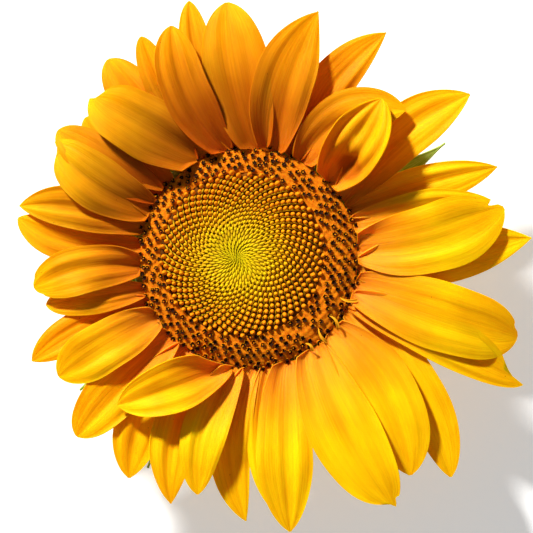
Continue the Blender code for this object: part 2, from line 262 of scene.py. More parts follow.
def add_node(tree, kind, inputs=None, stops=None, **settings):
    """Adds a node, sets its properties and ramp stops, and fills its inputs."""
    made = tree.nodes.new("ShaderNode" + kind)
    for name, value in settings.items():
        setattr(made, name, value)
    fill(tree, made, inputs or {})
    if stops:
        points = made.color_ramp.elements
        while len(points) < len(stops):
            points.new(1.0)
        for point, (position, shade) in zip(points, stops):
            point.position = position
            point.color = shade_of(shade)
    return made


def new_material(name, gloss=0.15):
    """An empty material with its Principled shader and output, and the piece's own coordinates."""
    made = bpy.data.materials.new(name)
    made.use_nodes = True
    tree = made.node_tree
    tree.nodes.clear()
    shader = add_node(tree, "BsdfPrincipled", {"Specular IOR Level": gloss})
    add_node(tree, "OutputMaterial", {"Surface": shader})
    return made, tree, shader, add_node(tree, "TexCoord").outputs["Object"]


def own_tone(tree):
    """The three numbers that set_tone stored for each point."""
    tone = add_node(tree, "Attribute", attribute_name="tone")
    return add_node(tree, "SeparateColor", {0: tone.outputs["Color"]}).outputs


def blade_axes(tree):
    """A blade's UV map, its distance from the root, 0 to 1, and from the middle line, 0 to 0.5."""
    uv = add_node(tree, "UVMap", uv_map="UVMap")
    axes = add_node(tree, "SeparateXYZ", {0: uv})
    off = add_node(tree, "Math", {0: axes, 1: 0.5}, operation="SUBTRACT")
    side = add_node(tree, "Math", {0: off}, operation="ABSOLUTE")
    return uv, axes.outputs[1], side


def times_ramps(tree, shade, factors):
    """The shade multiplied by one ramp after another, from pairs of driving socket and stops."""
    for driver, stops in factors:
        factor = add_node(tree, "ValToRGB", {0: driver}, stops=stops)
        both = {0: 1.0, 6: shade, 7: factor}
        shade = add_node(tree, "Mix", both, data_type="RGBA", blend_type="MULTIPLY").outputs[2]
    return shade


def coat(tree, shader, shade, rough, height, strength, depth):
    """Gives the shader its colour, roughness and fine relief."""
    bump = add_node(tree, "Bump", {"Strength": strength, "Distance": depth, "Height": height})
    fill(tree, shader, {"Base Color": shade, "Normal": bump, "Roughness": rough})


def petal_tissue():
    """Living ray petal: thin, a little translucent, satin from its fine parallel cell rows.

    Orange at the root and gold beyond it, with long fine veins 0.8 to 1.5 mm apart.
    """
    look = bpy.context.scene.sunflower_petals
    made, tree, shader, place = new_material("living_petal_satin", 0.03)
    uv, ahead, side = blade_axes(tree)
    own, under, painted_shade = own_tone(tree)
    # Veins, threads and blotches: noise drawn out along the blade, in which each petal has its slice. The
    # blotches are partly uneven tone and partly painted shade of the blade's waves
    slice_w = add_node(tree, "Math", {0: own, 1: 37.0}, operation="MULTIPLY")
    streaks = []
    for stretch, detail, rough in (
        ((17.0, 1.3, 1.0), 2.0, 0.6),
        ((62.0, 3.2, 1.0), 2.0, 0.55),
        ((2.2, 3.4, 1.0), 3.0, 0.5),
    ):
        at = add_node(tree, "VectorMath", {0: uv, 1: stretch}, operation="MULTIPLY")
        inputs = {"Vector": at, "W": slice_w, "Scale": 1.0, "Detail": detail}
        inputs["Roughness"] = rough
        streaks.append(add_node(tree, "TexNoise", inputs, noise_dimensions="4D"))
    vein, thread, blotch_and_shade = streaks
    # The orange of the root fades out unevenly along the veins
    wander = add_node(tree, "Math", {0: vein, 1: 0.16, 2: -0.08}, operation="MULTIPLY_ADD")
    along = add_node(tree, "Math", {0: ahead, 1: wander}, operation="ADD")
    # The first ramp is the petals' own colour. The second, mixed in by the third tone, is painted shade:
    # burnt orange roots where petals face away from the key light, and the curled petal's hollow
    pale_run, shade_run = (
        add_node(tree, "ValToRGB", {0: along}, stops=stops)
        for stops in (
            ((0.0, "#CC7010"), (0.05, look.base), (0.24, "#F4A40C"), (0.42, look.gold)),
            ((0.0, look.deep), (0.25, "#B2600A"), (0.5, "#C47E08"), (0.75, "#D49204"), (0.95, "#E4A402")),
        )
    )
    run = add_node(tree, "Mix", {0: painted_shade, 6: pale_run, 7: shade_run}, data_type="RGBA")
    # Specks of dust 0.3 mm across, on a few of the 2.5 mm cells
    cells = add_node(tree, "TexVoronoi", {"Vector": place, "Scale": 400.0}).outputs
    pick = add_node(tree, "SeparateColor", {0: cells["Color"]})
    rare = add_node(tree, "Math", {0: pick, 1: 0.93}, operation="GREATER_THAN")
    spot = add_node(tree, "Math", {0: cells["Distance"], 1: 0.07}, operation="LESS_THAN")
    speck = add_node(tree, "Math", {0: rare, 1: spot}, operation="MULTIPLY")
    factors = (
        (side, ((0.0, 0.9), (0.1, 1.0), (0.5, 1.0))),
        (vein, ((0.32, 0.92), (0.52, 1.0), (0.7, 1.03))),
        (thread, ((0.35, 0.93), (0.55, 1.0), (0.7, 1.03))),
        # Blotches: partly uneven tone, partly painted shade
        (blotch_and_shade, ((0.3, "#ECE0CC"), (0.65, 1.0))),
        (speck, ((0.0, 1.0), (1.0, "#8A4A30"))),
    )
    # Each petal is a little greener or redder than the next, and the back is duller
    hue = add_node(tree, "Math", {0: own, 1: 0.016, 2: 0.492}, operation="MULTIPLY_ADD")
    value = add_node(tree, "Math", {0: under, 1: -0.14, 2: 1.0}, operation="MULTIPLY_ADD")
    shade = times_ramps(tree, run.outputs[2], factors)
    tuned = add_node(tree, "HueSaturation", {"Hue": hue, "Value": value, "Color": shade})
    height = add_node(tree, "Math", {0: thread, 1: 0.45, 2: vein}, operation="MULTIPLY_ADD")
    rough = add_node(tree, "Math", {0: blotch_and_shade, 1: 0.2, 2: 0.42}, operation="MULTIPLY_ADD")
    coat(tree, shader, tuned, rough, height, 0.42, 0.0005)
    glow = {"Subsurface Weight": 0.65, "Subsurface Radius": (1.0, 0.6, 0.03), "Subsurface Scale": 0.0016}
    fill(tree, shader, glow)
    return made


def bud_wax(name, stops, foot_shade=1.0):
    """Closed florets and chaff: waxy skin with a soft gloss, coloured by distance from the eye.

    Their sides darken downwards into the gaps: partly pollen dust, partly painted shade.
    """
    made, tree, shader, place = new_material(name, 0.04)
    own, level, _ = own_tone(tree)
    flat = add_node(tree, "VectorMath", {0: place, 1: (1.0, 1.0, 0.0)}, operation="MULTIPLY")
    from_eye = {0: flat, 1: (EYE_X * MM, EYE_Y * MM, 0.0)}
    far = add_node(tree, "VectorMath", from_eye, operation="DISTANCE").outputs["Value"]
    # 45 mm from the eye is 1 on the ramp
    share = add_node(tree, "Math", {0: far, 1: 1 / (45 * MM)}, operation="MULTIPLY")
    spread = add_node(tree, "Math", {0: own, 1: 0.1, 2: -0.05}, operation="MULTIPLY_ADD")
    moved = add_node(tree, "Math", {0: share, 1: spread}, operation="ADD")
    ramp = add_node(tree, "ValToRGB", {0: moved}, stops=stops)
    # Grain of 0.25 mm, coarser than the real skin so that it shows
    grain = add_node(tree, "TexNoise", {"Vector": place, "Scale": 4000.0, "Detail": 2.0})
    # Painted shade: each copy darkens towards its foot, by its height in the second tone
    factors = ((grain, ((0.3, 0.82), (0.6, 1.0))), (level, ((0.0, foot_shade), (0.55, 1.0))))
    coat(tree, shader, times_ramps(tree, ramp, factors), 0.62, grain, 0.3, 0.0001)
    return made


def floret_fuzz():
    """Open corollas and the pollen-dusted hairs between them: matt, orange-brown, uneven."""
    look = bpy.context.scene.sunflower_disc
    made, tree, shader, place = new_material("pollen_dusted_corolla", 0.04)
    own, level, _ = own_tone(tree)
    # Pollen clumps of about 0.6 mm and grains of 0.15 mm
    clump = add_node(tree, "TexNoise", {"Vector": place, "Scale": 900.0, "Detail": 4.0})
    grain = add_node(tree, "TexNoise", {"Vector": place, "Scale": 5200.0, "Detail": 2.0})
    both = add_node(tree, "Math", {0: own, 1: 0.35, 2: clump}, operation="MULTIPLY_ADD")
    stops = ((0.3, "#A84E04"), (0.65, look.corolla), (1.0, "#D8840E"))
    ramp = add_node(tree, "ValToRGB", {0: both}, stops=stops)
    # Painted shade: each corolla darkens towards its foot, by its height in the second tone
    shade = times_ramps(tree, ramp, ((level, ((0.0, "#8A6A50"), (0.6, 1.0))),))
    coat(tree, shader, shade, 0.8, grain, 0.6, 0.0003)
    glow = {"Subsurface Weight": 0.5, "Subsurface Radius": (1.0, 0.3, 0.03), "Subsurface Scale": 0.0018}
    fill(tree, shader, glow)
    return made


def anther_skin():
    """Anther tubes: near black and slightly glossy, with a brown bloom of dust."""
    look = bpy.context.scene.sunflower_disc
    made, tree, shader, place = new_material("dark_anther_tube", 0.04)
    # Dust in patches of 0.4 mm
    dust = add_node(tree, "TexNoise", {"Vector": place, "Scale": 2500.0, "Detail": 3.0})
    ramp = add_node(tree, "ValToRGB", {0: dust}, stops=((0.5, look.anther), (0.8, "#3A1C0A")))
    coat(tree, shader, ramp, 0.7, dust, 0.4, 0.0001)
    return made


def green_leaf(name, main, pale):
    """Bracts: leathery leaf, matt, with pale lengthwise veins about 1.2 mm apart and a pale edge."""
    made, tree, shader, place = new_material(name)
    uv, _, side = blade_axes(tree)
    drawn = add_node(tree, "VectorMath", {0: uv, 1: (13.0, 1.1, 1.0)}, operation="MULTIPLY")
    vein = add_node(tree, "TexNoise", {"Vector": drawn, "Scale": 1.0, "Detail": 3.0})
    cell = add_node(tree, "TexNoise", {"Vector": place, "Scale": 420.0, "Detail": 5.0})
    both = add_node(tree, "Math", {0: cell, 1: 0.4, 2: vein}, operation="MULTIPLY_ADD")
    dark = tuple(np.array(main) * (0.55, 0.62, 0.6, 1.0))
    ramp = add_node(tree, "ValToRGB", {0: both}, stops=((0.42, dark), (0.64, main), (0.9, pale)))
    rim = add_node(tree, "ValToRGB", {0: side}, stops=((0.0, 0.35), (0.04, 0.0), (0.4, 0.0), (0.5, 0.6)))
    mix = add_node(tree, "Mix", {0: rim, 6: ramp, 7: pale}, data_type="RGBA")
    coat(tree, shader, mix.outputs[2], 0.62, both, 0.5, 0.0004)
    return made


def stem_skin():
    """Stem and receptacle skin: pale green, lightly ribbed and flecked, matt."""
    look = bpy.context.scene.sunflower_green
    made, tree, shader, place = new_material("ribbed_green_stem_skin")
    # Flecks 1 mm wide, drawn out along the stem
    drawn = add_node(tree, "VectorMath", {0: place, 1: (1.0, 1.0, 0.25)}, operation="MULTIPLY")
    fleck = add_node(tree, "TexNoise", {"Vector": drawn, "Scale": 700.0, "Detail": 5.0})
    dark = tuple(np.array(look.skin) * (0.55, 0.62, 0.5, 1.0))
    stops = ((0.3, dark), (0.55, look.skin), (0.75, "#B7C67E"))
    coat(tree, shader, add_node(tree, "ValToRGB", {0: fleck}, stops=stops), 0.6, fleck, 0.5, 0.0003)
    return made


def cut_pith():
    """Fresh cut stem: white spongy pith in a wet green ring of fibres 1.5 mm wide."""
    look = bpy.context.scene.sunflower_green
    made, tree, shader, place = new_material("fresh_cut_pith")
    flat = add_node(tree, "VectorMath", {0: place, 1: (1.0, 1.0, 0.0)}, operation="MULTIPLY")
    out = add_node(tree, "VectorMath", {0: flat}, operation="LENGTH")
    share = add_node(tree, "Math", {0: out.outputs["Value"], 1: 1 / (11 * MM)}, operation="MULTIPLY")
    stops = ((0.0, look.pith), (0.76, look.pith), (0.82, "#B9C98A"), (0.95, look.skin))
    ring = add_node(tree, "ValToRGB", {0: share}, stops=stops)
    # Sponge cells of about 0.7 mm
    cells = add_node(tree, "TexVoronoi", {"Vector": place, "Scale": 1400.0})
    coat(tree, shader, ring, 0.7, cells.outputs["Distance"], 0.5, 0.0003)
    return made


def plaster_floor():
    """Plain pale floor, matt, with a faint unevenness of a few centimetres.

    It glows faintly, like a photographer's light table, so that the shadow on it stays pale.
    """
    look = bpy.context.scene.sunflower_stage
    made, tree, shader, place = new_material("matt_pale_floor")
    wash = add_node(tree, "TexNoise", {"Vector": place, "Scale": 9.0, "Detail": 2.0})
    dark = tuple(np.array(look.floor) * (0.985, 0.985, 0.985, 1.0))
    ramp = add_node(tree, "ValToRGB", {0: wash}, stops=((0.3, dark), (0.7, look.floor)))
    glow = {"Emission Color": (1.0, 1.0, 1.0, 1.0), "Emission Strength": 0.35}
    fill(tree, shader, {"Base Color": ramp, "Roughness": 0.9, **glow})
    return made


def points_of(piece):
    """The piece's points, in millimetres."""
    flat = np.empty(len(piece.data.vertices) * 3)
    piece.data.vertices.foreach_get("co", flat)
    return flat.reshape(-1, 3) / MM


def place_points(piece, points):
    """Puts the piece's points at these places, given in millimetres."""
    piece.data.vertices.foreach_set("co", (np.asarray(points) * MM).ravel())
    piece.data.update()


def grid(name, across, along):
    """A flat grid with its UV map, and where its points lie: -1 to 1 across and 0 to 1 along it."""
    bpy.ops.object.select_all(action="DESELECT")
    bpy.ops.mesh.primitive_grid_add(x_subdivisions=across, y_subdivisions=along, size=2.0, calc_uvs=True)
    made = bpy.context.object
    made.name = name
    made.data.name = name
    flat = points_of(made) * MM
    return made, flat[:, 0], (flat[:, 1] + 1) / 2


def turned_grid(name, around, rows):
    """A grid to be wrapped round Z, with the angle of each point and the number of its row."""
    piece, across, along = grid(name, around, rows)
    return piece, np.pi * (across + 1), np.rint(along * rows)


def blade_grid(name, across, along):
    """A grid to be shaped into a leaf or petal, its rows closer together towards the tip."""
    piece, left, step = grid(name, across, along)
    return piece, -left, 0.45 * step + 0.55 * np.sin(np.pi / 2 * step)


def xyz(x, y, z):
    """Points or directions, one to a row, from their three parts."""
    return np.stack(np.broadcast_arrays(x, y, z), axis=1)


def unit(rows):
    """The same directions, each of length 1."""
    return rows / np.linalg.norm(rows, axis=1)[:, None]


def close_up(piece, bridged=False):
    """Welds the seam and the poles of a wrapped grid, or joins its two open rims instead of poles."""
    bm = bmesh.new()
    bm.from_mesh(piece.data)
    bmesh.ops.remove_doubles(bm, verts=bm.verts, dist=1e-6)
    if bridged:
        bmesh.ops.bridge_loops(bm, edges=[e for e in bm.edges if e.is_boundary])
    bmesh.ops.recalc_face_normals(bm, faces=bm.faces)
    bm.to_mesh(piece.data)
    bm.free()


def finish(piece, surface, node, smooth_deg=None):
    """Shades the piece, gives it its material, hangs it on the root body and hides the solid that it
    stands for.
    """
    bpy.ops.object.select_all(action="DESELECT")
    piece.select_set(True)
    bpy.context.view_layer.objects.active = piece
    if smooth_deg is None:
        bpy.ops.object.shade_smooth()
    else:
        bpy.ops.object.shade_smooth_by_angle(angle=math.radians(smooth_deg))
    piece.data.materials.clear()
    piece.data.materials.append(surface)
    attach(piece, "root")
    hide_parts(node)


def thicken(piece, thickness):
    """Gives an open sheet its wall, half of it to each side."""
    bpy.context.view_layer.objects.active = piece
    wall = piece.modifiers.new("wall", "SOLIDIFY")
    wall.thickness = thickness
    wall.offset = 0.0
    bpy.ops.object.modifier_apply(modifier=wall.name)


def set_tone(piece, values):
    """Stores up to three numbers for each point, which the materials read as a colour."""
    values = np.atleast_2d(values)
    if len(values) != len(piece.data.vertices):
        values = np.repeat(values, len(piece.data.vertices), axis=0)
    full = np.ones((len(values), 4))
    full[:, : values.shape[1]] = values
    layer = piece.data.attributes.new("tone", "FLOAT_COLOR", "POINT")
    layer.data.foreach_set("color", full.ravel())


def bent_line(root, middle, tip, v):
    """Points and directions on the parabola from the root through the middle to the tip."""
    control = 2 * middle - (root + tip) / 2
    v = v[:, None]
    point = (1 - v) ** 2 * root + 2 * v * (1 - v) * control + v * v * tip
    return point, unit(2 * (1 - v) * (control - root) + 2 * v * (tip - control))


def petal_share(ray, v):
    """Share of the full width: narrow root, full belly, round or pointed tip."""
    rise = CLAW + (1 - CLAW) * np.sin(np.pi / 2 * np.minimum(v / ray.belly, 1.0)) ** 0.6
    s = np.clip((v - ray.belly) / (1 - ray.belly), 0.0, 1.0)
    fall = (1 - s ** (1.5 + 1.5 * ray.blunt)) ** (1 - 0.45 * ray.blunt)
    return np.where(v < ray.belly, rise, np.maximum(fall, 0.02 + 0.06 * ray.blunt))


def petal_points(ray, index, u, v):
    """Where the points of a petal lie, in millimetres."""
    root_z, middle_z, tip_z = ROWS[ray.row]
    angle = math.radians(ray.root_deg)
    root = np.array((ROOT_R * math.cos(angle), ROOT_R * math.sin(angle), root_z))
    tip = np.array((ray.x, ray.y, tip_z + ray.lift))
    flat = (tip - root)[:2] / np.linalg.norm((tip - root)[:2])
    middle = (root + tip) / 2 + ray.bow * np.array((-flat[1], flat[0], 0.0))
    middle[2] = middle_z
    swell = np.sin(np.pi * v)
    half = ray.width / 2 * petal_share(ray, v) * (1 + 0.025 * np.sin(11 * v + 1.7 * index) * swell)
    along = v + OBLIQUE.get(ray.root_deg, 0.0) * u * v**4
    for left, depth, breadth in NICKS.get(ray.root_deg, ()):
        along = along - depth * np.exp(-(((half * u - left) / breadth) ** 2)) * v**10
    point, ahead = bent_line(root, middle, tip, along)
    side = unit(np.cross(UP, ahead))
    turn = (math.radians(ray.roll) * np.sin(np.pi / 2 * v))[:, None]
    side = side * np.cos(turn) + np.cross(ahead, side) * np.sin(turn)
    up = np.cross(ahead, side)
    curl = 1.2 - np.sin(np.pi / 2 * np.minimum(1.0, v / 0.45)) + ray.cup * (1 - 0.5 * v)
    curl = np.where(np.abs(curl) < 0.02, 0.02, curl)
    pleat = np.exp(-v / 0.2) * np.minimum(1.0, v / 0.05)

    def across(u):
        height = half * (1 - np.cos(curl * u)) / curl - RIDGE * np.cos(2 * np.pi * u) * swell
        height += RUFFLE * u * u * np.sin(9.0 * v + 2.4 * index + 1.2 * u) * swell
        # Finer folds: pleats that fan out of the root, and low ribs along the blade
        height += 0.36 * pleat * np.sin(7.5 * u + 1.9 * index)
        height += 0.3 * swell * np.sin(9.0 * u + 2.1 * v + 0.9 * index)
        height += 0.1 * swell * np.sin(19.0 * u - 1.3 * v + 2.3 * index)
        height += 0.5 * np.sin(5.0 * v + 1.3 * index) * np.sin(2.0 * u + index) * swell
        if ray.root_deg == CURLED_DEG:
            height -= HOLLOW * np.exp(-(((v - 0.25) / 0.13) ** 2) - ((u + 0.25) / 0.55) ** 2)
            height += 0.6 * HOLLOW * np.exp(-(((v - 0.42) / 0.11) ** 2) - ((u - 0.2) / 0.5) ** 2)
            height += 0.7 * swell * np.sin(13.0 * u + 3.0 * v)
        return (half * np.sin(curl * u) / curl)[:, None] * side + height[:, None] * up

    # An edge that would reach in over the disc stops at its rim, and its half narrows with it
    edge = across(np.where(u < 0, -1.0, 1.0))[:, :2]
    flat = point[:, :2]
    slope = (flat * edge).sum(axis=1)
    square = (edge**2).sum(axis=1)
    room = (flat**2).sum(axis=1) - RIM_R**2
    fit = (-slope - np.sqrt(np.maximum(0.0, slope**2 - square * room))) / square
    inside = np.hypot(*(flat + edge).T) < RIM_R
    return point + np.where(inside, np.clip(fit, 0.12, 1.0), 1.0)[:, None] * across(u)


def bract_points(azimuth, reach, row, index, u, v):
    """Where the points of a bract lie, in millimetres."""
    root_r, width, _, _, root_z, middle_z, tip_z = BRACT_ROWS[row]
    out = np.array((math.cos(azimuth), math.sin(azimuth), 0.0))
    side = np.array((-out[1], out[0], 0.0))
    middle = (root_r + reach) / 2 * out - 1.4 * side + middle_z * UP
    point, _ = bent_line(root_r * out + root_z * UP, middle, reach * out + tip_z * UP, v)
    s = np.clip((v - 0.28) / 0.72, 0.0, 1.0)
    swell = 0.8 + 0.2 * np.sin(np.pi / 2 * np.minimum(v / 0.28, 1.0))
    share = np.where(v < 0.28, swell, np.maximum((1 - s) ** 1.35 * (1 + 0.35 * s), 0.02))
    half = width / 2 * share * (1 + 0.02 * np.sin(23 * v + index))
    height = 0.12 * half * u * u - 0.28 * np.exp(-((u / 0.09) ** 2)) * (1 - v)
    height += 0.25 * np.sin(9 * v + index) * u * u + 0.06 * np.cos(26 * u) * (1 - v)
    return point + (half * u)[:, None] * side + height[:, None] * UP


def template(name, profile, segments, shape=None):
    """Points and faces of a small turned shape, closed at both ends, from radius and height pairs."""
    piece, turn, row = turned_grid(name, segments, len(profile) - 1)
    row = row.astype(int)
    radius, height = np.array(profile)[row].T
    if shape:
        radius, height = shape(turn, row, radius, height)
    place_points(piece, xyz(radius * np.cos(turn), radius * np.sin(turn), height))
    close_up(piece)
    points = points_of(piece)
    faces = [list(face.vertices) for face in piece.data.polygons]
    bpy.data.meshes.remove(piece.data)
    return points, faces


def scatter(name, shape, places, frames, sizes, tones, lit=False):
    """One mesh with a copy of the shape at each place.

    frames holds each copy's own X, Y and Z directions, sizes its scale along them or in all, and
    tones a number that its material varies by. The second tone is the height within the copy, 0 to
    1, or 1 all over if it stands in full light.
    """
    points, faces = shape
    local = points[None] * sizes[:, None, :]
    moved = np.einsum("nki,nij->nkj", local, frames) + places[:, None, :]
    count = len(points)
    low, high = points[:, 2].min(), points[:, 2].max()
    level = np.maximum(lit, (points[:, 2] - low) / (high - low))
    mesh = bpy.data.meshes.new(name)
    every = [[k + n * count for k in face] for n in range(len(places)) for face in faces]
    mesh.from_pydata((moved.reshape(-1, 3) * MM).tolist(), [], every)
    piece = bpy.data.objects.new(name, mesh)
    bpy.context.scene.collection.objects.link(piece)
    set_tone(piece, np.stack([np.repeat(tones, count), np.tile(level, len(places))], axis=1))
    return piece


def frames_from(up, ahead):
    """Right-handed frames whose Z is up and whose X leans to ahead."""
    up = unit(up)
    side = unit(np.cross(up, ahead))
    return np.stack([np.cross(side, up), side, up], axis=1)


def buds_z(x, y):
    """Height of the gaps between the buds."""
    out = np.minimum(1.0, np.hypot(x - BUDS_X, y - BUDS_Y) / BUDS_R)
    eye = np.hypot(x - EYE_X, y - EYE_Y)
    return BUDS_EDGE_Z + BUDS_DOME * (1 - out * out) - 0.9 * np.exp(-((eye / 5.0) ** 2))


def ring_z(x, y):
    """Height of the mass between the open florets."""
    out = np.hypot(x, y)
    return RING_Z - 1.6 * np.maximum(0.0, (out - 38.0) / 5.0) + 0.35 * np.sin(1.7 * x) * np.sin(1.9 * y)


def pitch_at(out):
    """Spacing of the buds at a distance from the eye, in millimetres."""
    look = bpy.context.scene.sunflower_disc
    close = np.exp(-out / 3.3)
    return look.fine_pitch / MM * close + (look.bud_pitch / MM - 0.035 * (BUDS_R - out)) * (1 - close)


def bud_places():
    """Floret places in crossing spirals, closer together towards the eye.

    They come as complex numbers, in millimetres from the eye, first with the eye drawn out into a
    slit and then without.
    """
    spiral = []
    radius, index = SLIT, 0
    while radius < 2 * BUDS_R:
        spiral.append(cmath.rect(radius, -GOLDEN * index))
        radius = math.sqrt(radius**2 + PACKING * pitch_at(radius) ** 2 / math.pi)
        index += 1
    spiral = np.array(spiral)
    places = spiral + slit_turn() / spiral
    inside = np.abs(places + complex(EYE_X - BUDS_X, EYE_Y - BUDS_Y)) < BUDS_R - 0.1
    return places[inside], spiral[inside]


def slit_turn():
    """What draws the circle of radius SLIT round the eye out into a slit, SLIT_DEG from +X."""
    return cmath.rect(SLIT**2, 2 * math.radians(SLIT_DEG))


def petal_painted_shade(ray):
    """How much painted shade a petal's root gets, 0 to 1: most on the upper left ones, which face away
    from the key light.
    """
    return min(1.0, max(0.0, 0.35 + 0.75 * math.cos(math.radians(ray.root_deg - PAINTED_SHADE_DEG))))


class SUNFLOWER_OT_petals(bpy.types.Operator):
    """Adds the ray petals, each a thin arched blade with its own folds and veins"""

    bl_idname = "sunflower.petals"
    bl_label = "Add petals"

    def execute(self, context):
        look = context.scene.sunflower_petals
        surface = petal_tissue()
        rng = random.Random(PETAL_SEED)
        for index, ray in enumerate(RAYS):
            piece, u, v = blade_grid(f"ray_petal_{index + 1:02d}", 26, 56)
            place_points(piece, petal_points(ray, index, u, v))
            count = len(piece.data.vertices)
            thicken(piece, look.thickness)
            under = (np.arange(len(piece.data.vertices)) >= count).astype(float)
            # Painted shade on the roots of the petals that face away from the key light
            painted_shade = np.full(count, petal_painted_shade(ray))
            # Painted shade in the hollow of the curled petal
            if ray.root_deg == CURLED_DEG:
                hollow = 2.0 * np.exp(-(((v - 0.24) / 0.12) ** 2) - ((u + 0.25) / 0.5) ** 2)
                painted_shade = np.maximum(painted_shade, hollow)
            painted_shade = np.resize(np.clip(painted_shade, 0.0, 1.0), len(under))
            set_tone(piece, xyz(rng.random(), under, painted_shade))
            finish(piece, surface, "ray_petals", 60)
        return {"FINISHED"}


class SUNFLOWER_OT_buds(bpy.types.Operator):
    """Adds the closed buds and the chaff between them, in crossing spirals"""

    bl_idname = "sunflower.buds"
    bl_label = "Add closed buds"

    def execute(self, context):
        look = context.scene.sunflower_disc
        rng = np.random.default_rng(look.seed)
        # The floor that shows between the buds is mostly painted shade of the deep gaps: olive near the
        # eye, darkest at the gap colour
        inner = ((0.0, "#A89606"), (0.28, "#94720A"), (0.46, "#6E4C0A"))
        stops = (*inner, (0.64, look.gap), (0.74, "#7A4408"))
        finish(make_ground(), bud_wax("shaded_disc_floor", stops), "disc_buds")
        places, spiral = bud_places()
        x, y = EYE_X + places.real, EYE_Y + places.imag
        eye = np.abs(spiral)
        inward = xyz(-spiral.real, -spiral.imag, 0.0) / eye[:, None]
        apart = 0.4
        slope_x = (buds_z(x + apart, y) - buds_z(x - apart, y)) / (2 * apart)
        slope_y = (buds_z(x, y + apart) - buds_z(x, y - apart)) / (2 * apart)
        up = xyz(-slope_x, -slope_y, 1.0)
        pitch = pitch_at(eye)
        base = xyz(x, y, buds_z(x, y))
        # Each line of every 55th floret runs almost straight out from the eye. step is the distance
        # from one floret to the next along it, swing its turn from straight out, lane the distance
        # between two lines, and flow the way in along it
        step = LINES * PACKING * pitch**2 / (2 * np.pi * eye)
        swing = -np.arctan(2 * np.pi / (math.sqrt(5) * LINES) * eye / step)
        lane = 2 * np.pi * eye * np.cos(swing) / LINES
        ahead = -spiral * np.exp(1j * swing) * (1 - slit_turn() / spiral**2)
        ahead /= np.abs(ahead) + 1e-9
        flow = xyz(ahead.real, ahead.imag, 0.0)

        def five_folds(turn, row, radius, height):
            fold = 0.5 + 0.5 * np.cos(5 * turn)
            top = np.clip(height / 0.5, 0.0, 1.0)
            return radius * (1 + 0.14 * fold * top), height - 0.07 * (1 - fold) * top

        foot = ((0.0, -0.75), (0.43, -0.7), (0.43, -0.2))
        dome = ((0.4, 0.04), (0.33, 0.26), (0.21, 0.44), (0.08, 0.54), (0.0, 0.56))
        bud = template("bud", foot + dome, 10, five_folds)
        keep = eye > BARE_R
        grow = np.clip((eye[keep] - 8.0) / 14.0, 0.12, 1.0)
        size = pitch[keep] * (0.87 + 0.02 * grow)
        sizes = xyz(size * (1.5 - 0.5 * grow), size * 0.96, size * (0.8 + 0.25 * grow))
        sizes *= rng.uniform(0.92, 1.1, (len(size), 1))
        lean = up[keep] - 0.15 * inward[keep] + rng.normal(0.0, 0.09, (len(size), 3))
        seat = base[keep] + up[keep] * (0.15 + 0.65 * grow)[:, None]
        seat -= flow[keep] * 0.25 * (1 - grow)[:, None]
        frames = frames_from(lean, flow[keep])
        buds = scatter("closed_buds", bud, seat, frames, sizes, rng.random(len(size)))
        stops = ((0.22, "#D6B608"), (0.38, look.bud_inner), (0.56, look.bud), (0.9, "#E0800C"))
        # Painted shade: the last colour is the dark at the buds' feet
        finish(buds, bud_wax("closed_bud_wax", stops, "#5A3414"), "disc_buds")

        # Chaff: pointed scales that lean to the eye, long and broad near it and mere lines further out
        blade = ((0.0, -1.0), (0.44, -0.82), (0.54, -0.3), (0.5, 0.3), (0.3, 0.75), (0.0, 1.0))
        leaf = template("chaff", blade, 8)
        near = np.clip((17.0 - eye) / 7.0, 0.0, 1.0)
        away = 1 - near
        tangent = xyz(-flow[:, 1], flow[:, 0], 0.0)
        direction = flow + up * (0.14 + 0.64 * away)[:, None] + rng.normal(0.0, 0.03, up.shape)
        seat = base + flow * (pitch * (0.12 + 0.3 * away))[:, None]
        seat += tangent * (pitch * 0.42 * away)[:, None] + up * (0.3 + 0.5 * away)[:, None]
        wide = pitch * 0.26 * away + np.clip(1.04 * lane, 0.4, 1.4) * near
        long = pitch * 0.68 * away + np.minimum(0.62 * step, 0.45 * eye + 0.6) * near
        sizes = xyz(wide, wide * 0.9, long) * rng.uniform(0.92, 1.1, (len(x), 1))
        frames = frames_from(direction, tangent)
        chaff = scatter("chaff_scales", leaf, seat, frames, sizes, rng.random(len(x)))
        stops = ((0.0, "#C8B408"), (0.1, look.eye), (0.3, "#CC9C0A"), (0.45, "#C0940A"), (0.7, "#A07C0A"))
        # Painted shade: the last colour is the dark at the chaff's feet
        finish(chaff, bud_wax("chaff_scale_wax", stops, "#8A7020"), "disc_buds")
        return {"FINISHED"}


def make_ground():
    """The floor of the bud patch, closed underneath."""
    top, rows = 28, 30
    piece, turn, row = turned_grid("disc_floor", 96, rows)
    radius = np.where(row < rows, BUDS_R * np.minimum(row / top, 1.0), 0.0)
    x, y = BUDS_X + radius * np.cos(turn), BUDS_Y + radius * np.sin(turn)
    place_points(piece, xyz(x, y, np.where(row <= top, buds_z(x, y) - 0.2, DISC_FOOT)))
    close_up(piece)
    set_tone(piece, (0.5, 1.0))
    return piece


def ring_places(pitch, rng):
    """Open floret places over the ring, in the same spirals, a little uneven and sparser at the right."""
    index = np.arange(RING_TRIED)
    radius, angle = pitch * np.sqrt(PACKING / np.pi * (index + 0.5)), -GOLDEN * index
    places = np.stack([EYE_X + radius * np.cos(angle), EYE_Y + radius * np.sin(angle)], axis=1)
    places += rng.normal(0.0, 0.11 * pitch, places.shape)
    out = np.hypot(places[:, 0], places[:, 1])
    bud = np.hypot(places[:, 0] - BUDS_X, places[:, 1] - BUDS_Y)
    right = places[:, 0] / out > 0.3
    kept = (out < RING_OUT + 1.0) & (bud > BUDS_R - 0.1) & ~(right & (rng.random(len(places)) < 0.22))
    return places[kept]


